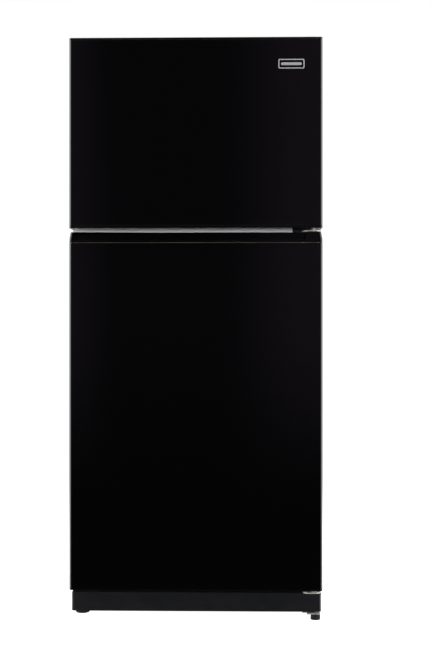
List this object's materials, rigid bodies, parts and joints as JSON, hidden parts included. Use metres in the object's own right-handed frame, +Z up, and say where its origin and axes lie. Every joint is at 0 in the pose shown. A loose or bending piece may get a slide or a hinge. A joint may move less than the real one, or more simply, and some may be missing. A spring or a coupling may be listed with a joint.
{
  "type": "top freezer refrigerator",
  "caption": "Tall two-door refrigerator with the freezer on top, gloss black doors hinged on the right and a recessed grip between them.",
  "frame": {"origin": "on the floor, under the middle of the whole appliance", "axes": "+Z up; the doors face -Y; +X to the right of a person who faces the doors"},
  "size_m": [0.7, 0.6916, 1.63],
  "materials": {
    "gloss_black_steel": "gloss",
    "gloss_black_plastic": "gloss",
    "cabinet_paint": "textured satin",
    "rear_paint": "satin",
    "frame_steel": "galvanised",
    "rail_grey": "satin",
    "zinc_steel": "zinc plated",
    "charcoal_plastic": "satin",
    "foam": "matt",
    "liner_white": "gloss",
    "gasket_grey": "matt",
    "bin_clear": "clear",
    "shelf_glass": "clear",
    "trim_white": "satin",
    "shelf_wire": "epoxy coated",
    "condenser_black": "satin",
    "compressor_black": "gloss",
    "rubber_black": "matt",
    "copper": "drawn",
    "aluminium_fin": "mill",
    "badge_silver": "brushed",
    "pan_plastic": "matt",
    "lens_frosted": "frosted"
  },
  "bodies": {
    "cabinet": {"side_panel_left": "cabinet_paint", "side_panel_right": "cabinet_paint", "top_panel": "cabinet_paint", "rear_panel": "rear_paint", "cabinet_insulation": "foam", "freezer_liner": "liner_white", "fridge_liner": "liner_white", "mid_rail": "rail_grey", "base_frame": "frame_steel", "kick_plate": "charcoal_plastic", "top_hinge": "zinc_steel", "middle_hinge": "zinc_steel", "bottom_hinge": "zinc_steel", "hinge_screws": "zinc_steel", "top_hinge_cover": "gloss_black_plastic", "compressor": "compressor_black", "compressor_mounts": "rubber_black", "terminal_cover": "pan_plastic", "condenser_coil": "condenser_black", "condenser_rack": "condenser_black", "refrigerant_lines": "copper", "evaporation_pan": "pan_plastic", "evaporator": "aluminium_fin", "evaporator_cover": "liner_white", "fan_motor": "frame_steel", "control_housing": "trim_white", "lamp_cover": "lens_frosted", "freezer_shelf": "shelf_wire", "fridge_shelf_upper": "shelf_glass", "fridge_shelf_lower": "shelf_glass", "crisper_cover": "shelf_glass", "shelf_trims": "trim_white", "power_cord_gland": "rubber_black"},
    "freezer_door": {"freezer_door_skin": "gloss_black_steel", "freezer_door_top_cap": "gloss_black_plastic", "freezer_door_bottom_cap": "gloss_black_plastic", "freezer_door_insulation": "foam", "freezer_door_liner": "liner_white", "freezer_door_gasket": "gasket_grey", "badge": "badge_silver"},
    "fridge_door": {"fridge_door_skin": "gloss_black_steel", "fridge_door_top_cap": "gloss_black_plastic", "fridge_door_bottom_cap": "gloss_black_plastic", "fridge_door_insulation": "foam", "fridge_door_liner": "liner_white", "fridge_door_gasket": "gasket_grey"},
    "freezer_bin_lower": {"freezer_bin_lower": "bin_clear"},
    "freezer_bin_upper": {"freezer_bin_upper": "bin_clear"},
    "bottle_bin": {"bottle_bin": "bin_clear"},
    "fridge_bin_middle": {"fridge_bin_middle": "bin_clear"},
    "fridge_bin_upper": {"fridge_bin_upper": "bin_clear"},
    "crisper_drawer_left": {"crisper_drawer_left": "bin_clear"},
    "crisper_drawer_right": {"crisper_drawer_right": "bin_clear"},
    "evaporator_fan": {"evaporator_fan": "pan_plastic"},
    "thermostat_knob": {"thermostat_knob": "trim_white"},
    "light_switch_plunger": {"light_switch_plunger": "trim_white"},
    "left_foot": {"left_foot": "rubber_black"},
    "right_foot": {"right_foot": "rubber_black"},
    "rear_roller_left": {"rear_roller_left": "rubber_black"},
    "rear_roller_right": {"rear_roller_right": "rubber_black"}
  },
  "joints": [
    {"name": "freezer_door_hinge", "type": "hinge", "parent": "cabinet", "child": "freezer_door", "pos_m": [0.328, -0.317, 1.0925], "axis": [0, 0, 1], "range_deg": [0, 130]},
    {"name": "fridge_door_hinge", "type": "hinge", "parent": "cabinet", "child": "fridge_door", "pos_m": [0.328, -0.317, 0.092], "axis": [0, 0, 1], "range_deg": [0, 130]},
    {"name": "thermostat_turn", "type": "hinge", "parent": "cabinet", "child": "thermostat_knob", "pos_m": [-0.06, -0.18, 1.034], "axis": [0, -1, 0], "range_deg": [0, 300]},
    {"name": "light_switch_travel", "type": "slide", "parent": "cabinet", "child": "light_switch_plunger", "axis": [0, -1, 0], "range_m": [0, 0.008]},
    {"name": "evaporator_fan_spin", "type": "hinge", "parent": "cabinet", "child": "evaporator_fan", "pos_m": [0, 0.214, 1.42], "axis": [0, 1, 0], "continuous": true},
    {"name": "crisper_slide_left", "type": "slide", "parent": "cabinet", "child": "crisper_drawer_left", "axis": [0, -1, 0], "range_m": [0, 0.03]},
    {"name": "crisper_slide_right", "type": "slide", "parent": "cabinet", "child": "crisper_drawer_right", "axis": [0, -1, 0], "range_m": [0, 0.03]},
    {"name": "freezer_bin_lower_lift", "type": "slide", "parent": "freezer_door", "child": "freezer_bin_lower", "axis": [0, 0, 1], "range_m": [0, 0.02]},
    {"name": "freezer_bin_upper_lift", "type": "slide", "parent": "freezer_door", "child": "freezer_bin_upper", "axis": [0, 0, 1], "range_m": [0, 0.02]},
    {"name": "bottle_bin_lift", "type": "slide", "parent": "fridge_door", "child": "bottle_bin", "axis": [0, 0, 1], "range_m": [0, 0.02]},
    {"name": "fridge_bin_middle_lift", "type": "slide", "parent": "fridge_door", "child": "fridge_bin_middle", "axis": [0, 0, 1], "range_m": [0, 0.02]},
    {"name": "fridge_bin_upper_lift", "type": "slide", "parent": "fridge_door", "child": "fridge_bin_upper", "axis": [0, 0, 1], "range_m": [0, 0.02]},
    {"name": "left_foot_travel", "type": "slide", "parent": "cabinet", "child": "left_foot", "axis": [0, 0, -1], "range_m": [0, 0.012]},
    {"name": "rear_roller_left_spin", "type": "hinge", "parent": "cabinet", "child": "rear_roller_left", "pos_m": [-0.31, 0.27, 0.02], "axis": [1, 0, 0], "continuous": true},
    {"name": "right_foot_travel", "type": "slide", "parent": "cabinet", "child": "right_foot", "axis": [0, 0, -1], "range_m": [0, 0.012]},
    {"name": "rear_roller_right_spin", "type": "hinge", "parent": "cabinet", "child": "rear_roller_right", "pos_m": [0.31, 0.27, 0.02], "axis": [1, 0, 0], "continuous": true}
  ],
  "couplings": [
    {"joint": "light_switch_travel", "follows": "fridge_door_hinge", "m_per_rad": 0.0035}
  ]
}
